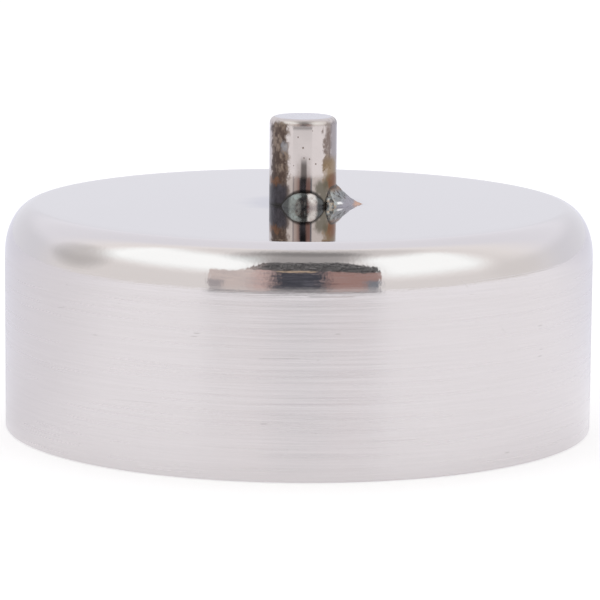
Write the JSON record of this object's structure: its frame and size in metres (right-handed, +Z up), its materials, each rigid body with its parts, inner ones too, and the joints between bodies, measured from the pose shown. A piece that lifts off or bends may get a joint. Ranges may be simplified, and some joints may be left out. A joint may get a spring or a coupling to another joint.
{
  "type": "steam trap bell",
  "caption": "Shallow drawn stainless cup, mouth down, with rounded shoulder and a short round lifting pin welded upright on its flat crown.",
  "frame": {"origin": "centre of the cup's rim plane, on the surface that the mouth-down cup stands on", "axes": "+Z up along the cup's axis towards the lifting pin; -Y is the side with the proud weld, +X the side with the drawn-out weld spur"},
  "size_m": [0.105, 0.105, 0.0556],
  "materials": {
    "polished_stainless": "mirror-polished crown, satin skirt with fine lines round it",
    "tinted_stainless": "drawn bar with brown and blue heat tint from welding",
    "weld_metal": "grey as-welded metal, smooth and slightly rippled"
  },
  "bodies": {
    "root": {"bell_cup": "polished_stainless", "lift_pin": "tinted_stainless", "weld_front": "weld_metal", "weld_right": "weld_metal", "weld_back": "weld_metal"}
  },
  "joints": []
}
